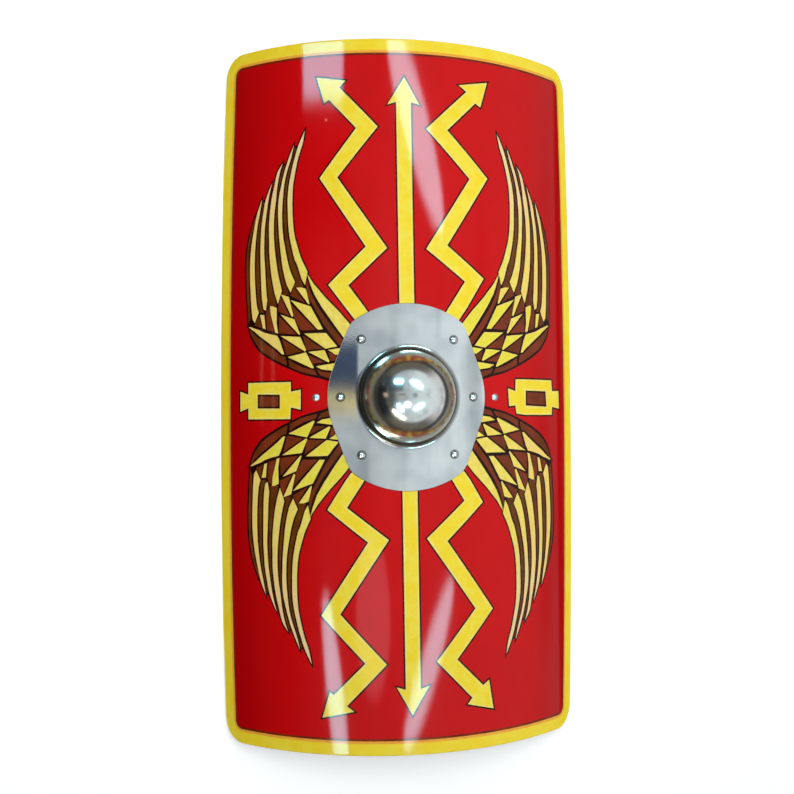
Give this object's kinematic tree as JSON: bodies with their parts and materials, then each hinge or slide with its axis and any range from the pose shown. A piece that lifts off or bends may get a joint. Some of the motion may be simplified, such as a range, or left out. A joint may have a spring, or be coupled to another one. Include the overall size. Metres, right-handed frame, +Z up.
{
  "type": "scutum shield",
  "caption": "Curved rectangular shield in painted sheet steel with a domed steel boss over a hand hole and a strap grip behind, lying hollow side down.",
  "frame": {"origin": "on the floor under the middle of the board, where it lies hollow side down on its two long edges", "axes": "+X across the board to its right edge as seen from the front, +Y along it towards its top edge, +Z up, out of the front face and along the dome of the boss"},
  "size_m": [0.567, 1.067, 0.1906],
  "materials": {
    "painted_board": "gloss red enamel with painted yellow border and devices, black behind",
    "boss_steel": "polished",
    "rivet_steel": "polished",
    "grip_black": "satin black",
    "blind_rivet": "plain"
  },
  "bodies": {
    "root": {"board": "painted_board", "boss": "boss_steel", "grip": "grip_black", "boss_rivet_1": "rivet_steel", "boss_rivet_2": "rivet_steel", "boss_rivet_3": "rivet_steel", "boss_rivet_4": "rivet_steel", "boss_rivet_5": "rivet_steel", "boss_rivet_6": "rivet_steel", "grip_rivet_1": "blind_rivet", "grip_rivet_2": "blind_rivet"}
  },
  "joints": []
}
